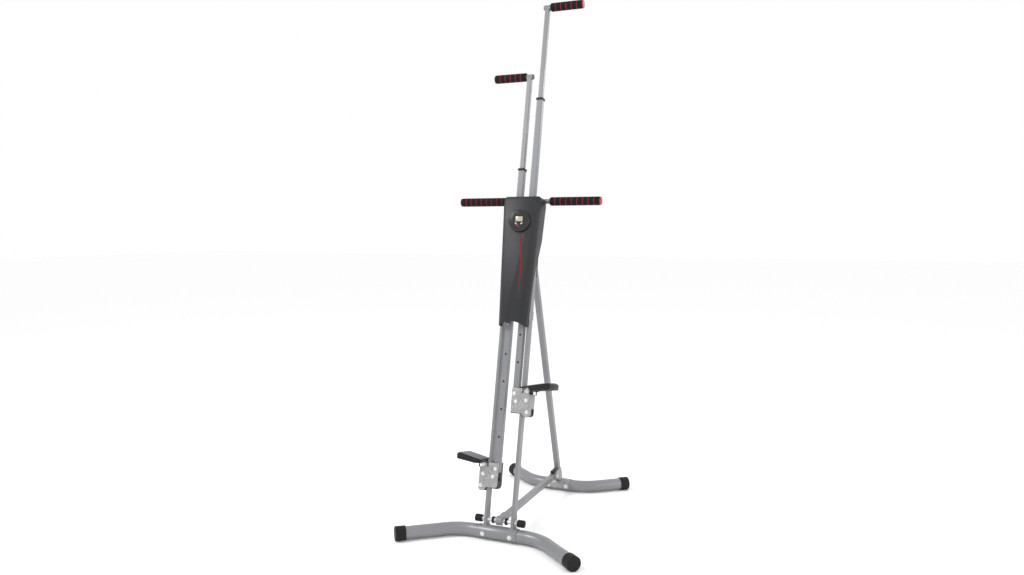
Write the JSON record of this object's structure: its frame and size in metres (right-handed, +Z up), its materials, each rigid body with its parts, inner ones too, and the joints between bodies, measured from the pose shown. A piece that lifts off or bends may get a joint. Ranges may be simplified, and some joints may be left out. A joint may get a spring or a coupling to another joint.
{
  "type": "vertical climber machine",
  "caption": "Leaning mast on a folding A-frame with two counter-moving climbing tubes, each with a fold-up pedal carriage below and a telescopic handle above, and a console with a round timer.",
  "frame": {"origin": "on the floor, at the middle of the footprint's bounding box, in the machine's centre plane", "axes": "+X to the user's right, +Y away from the user towards the rear foot, +Z up"},
  "size_m": [0.754, 1.0038, 2.1048],
  "materials": {
    "frame_paint": "satin silver-grey powder coat",
    "post_paint": "satin light silver powder coat",
    "zinc_plate": "spangled zinc plate",
    "zinc_bolt": "bright zinc",
    "black_rubber": "matt",
    "black_nylon": "satin",
    "grip_foam": "matt foam with red rings",
    "red_plug": "satin",
    "console_plastic": "fine grain, matt",
    "pod_plastic": "gloss",
    "lcd": "gloss",
    "rope_cord": "braided"
  },
  "bodies": {
    "frame": {"front_foot": "frame_paint", "front_foot_caps": "black_rubber", "front_saddle": "frame_paint", "front_foot_bolts": "zinc_bolt", "left_rail": "frame_paint", "right_rail": "frame_paint", "bottom_axle": "zinc_bolt", "axle_bumpers": "black_rubber", "axle_rings": "black_rubber", "top_bracket": "frame_paint", "lower_guide": "zinc_plate", "guide_bushes": "black_nylon", "cross_handlebar": "frame_paint", "handlebar_grips": "grip_foam", "grip_end_plugs": "red_plug", "console_cover": "console_plastic", "console_back": "console_plastic", "console_screws": "zinc_bolt", "timer_pod": "pod_plastic", "timer_display": "lcd", "pulley_pin": "zinc_bolt", "rope_bend": "rope_cord", "left_rope": "rope_cord", "right_rope": "rope_cord", "leg_pivot_bolt": "zinc_bolt"},
    "timer_button": {"timer_button": "red_plug"},
    "pulley": {"pulley": "black_nylon"},
    "left_climber": {"left_climbing_tube": "frame_paint", "left_carriage": "zinc_plate", "left_glide_pads": "black_nylon", "left_carriage_bolts": "zinc_bolt", "left_collar": "black_nylon"},
    "right_climber": {"right_climbing_tube": "frame_paint", "right_carriage": "zinc_plate", "right_glide_pads": "black_nylon", "right_carriage_bolts": "zinc_bolt", "right_collar": "black_nylon"},
    "left_outer_roller": {"left_outer_roller": "black_nylon"},
    "left_inner_roller": {"left_inner_roller": "black_nylon"},
    "right_outer_roller": {"right_outer_roller": "black_nylon"},
    "right_inner_roller": {"right_inner_roller": "black_nylon"},
    "left_pedal": {"left_pedal": "black_nylon"},
    "right_pedal": {"right_pedal": "black_nylon"},
    "left_handle": {"left_handle_post": "post_paint", "left_handle_grip": "grip_foam"},
    "right_handle": {"right_handle_post": "post_paint", "right_handle_grip": "grip_foam"},
    "leg": {"rear_leg": "frame_paint", "rear_foot": "frame_paint", "rear_foot_caps": "black_rubber", "rear_bracket": "zinc_plate", "rear_foot_bolts": "zinc_bolt", "brace_bolt": "zinc_bolt"},
    "brace": {"brace": "frame_paint"},
    "lock_knob": {"lock_knob": "black_nylon"}
  },
  "joints": [
    {"name": "left_climb", "type": "slide", "parent": "frame", "child": "left_climber", "axis": [0, 0.2079, 0.9781], "range_m": [-0.0935, 0.3855], "deforming": ["left_rope"]},
    {"name": "right_climb", "type": "slide", "parent": "frame", "child": "right_climber", "axis": [0, 0.2079, 0.9781], "range_m": [-0.3855, 0.0935], "deforming": ["right_rope"]},
    {"name": "pulley_spin", "type": "hinge", "parent": "frame", "child": "pulley", "pos_m": [0, -0.05671, 1.18553], "axis": [0, 0.9781, -0.2079], "range_deg": [-200, 820]},
    {"name": "left_outer_roll", "type": "hinge", "parent": "left_climber", "child": "left_outer_roller", "pos_m": [-0.077, -0.27102, 0.23839], "axis": [0, 0.9781, -0.2079], "range_deg": [-368, 1514]},
    {"name": "left_inner_roll", "type": "hinge", "parent": "left_climber", "child": "left_inner_roller", "pos_m": [-0.035, -0.27247, 0.23154], "axis": [0, 0.9781, -0.2079], "range_deg": [-1514, 368]},
    {"name": "right_outer_roll", "type": "hinge", "parent": "right_climber", "child": "right_outer_roller", "pos_m": [0.077, -0.21031, 0.52401], "axis": [0, 0.9781, -0.2079], "range_deg": [-368, 1514]},
    {"name": "right_inner_roll", "type": "hinge", "parent": "right_climber", "child": "right_inner_roller", "pos_m": [0.035, -0.21176, 0.51716], "axis": [0, 0.9781, -0.2079], "range_deg": [-1514, 368]},
    {"name": "left_pedal_fold", "type": "hinge", "parent": "left_climber", "child": "left_pedal", "pos_m": [-0.079, -0.26353, 0.2736], "axis": [0, 0.9781, -0.2079], "range_deg": [0, 70]},
    {"name": "right_pedal_fold", "type": "hinge", "parent": "right_climber", "child": "right_pedal", "pos_m": [0.079, -0.20282, 0.55922], "axis": [0, -0.9781, 0.2079], "range_deg": [0, 70]},
    {"name": "left_handle_height", "type": "slide", "parent": "left_climber", "child": "left_handle", "axis": [0, 0.2079, 0.9781], "range_m": [-0.2, 0.05]},
    {"name": "right_handle_height", "type": "slide", "parent": "right_climber", "child": "right_handle", "axis": [0, 0.2079, 0.9781], "range_m": [-0.2, 0.05]},
    {"name": "leg_fold", "type": "hinge", "parent": "frame", "child": "leg", "pos_m": [0, -0.02548, 1.23001], "axis": [-1, 0, 0], "range_deg": [0, 25]},
    {"name": "brace_fold", "type": "hinge", "parent": "leg", "child": "brace", "pos_m": [0, 0.2785, 0.084], "axis": [-1, 0, 0], "range_deg": [0, 72]},
    {"name": "lock_knob_pull", "type": "slide", "parent": "brace", "child": "lock_knob", "axis": [0, -0.0203, 0.9998], "range_m": [0, 0.009], "stiffness_N_per_m": 600},
    {"name": "timer_button_press", "type": "slide", "parent": "frame", "child": "timer_button", "axis": [0, 0.9781, -0.2079], "range_m": [0, 0.001], "stiffness_N_per_m": 400}
  ],
  "couplings": [
    {"joint": "right_climb", "follows": "left_climb", "ratio": -1},
    {"joint": "pulley_spin", "follows": "left_climb", "rad_per_m": 37.037},
    {"joint": "left_outer_roll", "follows": "left_climb", "rad_per_m": 68.493},
    {"joint": "left_inner_roll", "follows": "left_climb", "rad_per_m": -68.493},
    {"joint": "right_outer_roll", "follows": "left_climb", "rad_per_m": 68.493},
    {"joint": "right_inner_roll", "follows": "left_climb", "rad_per_m": -68.493},
    {"joint": "brace_fold", "follows": "leg_fold", "ratio": 2.88}
  ]
}
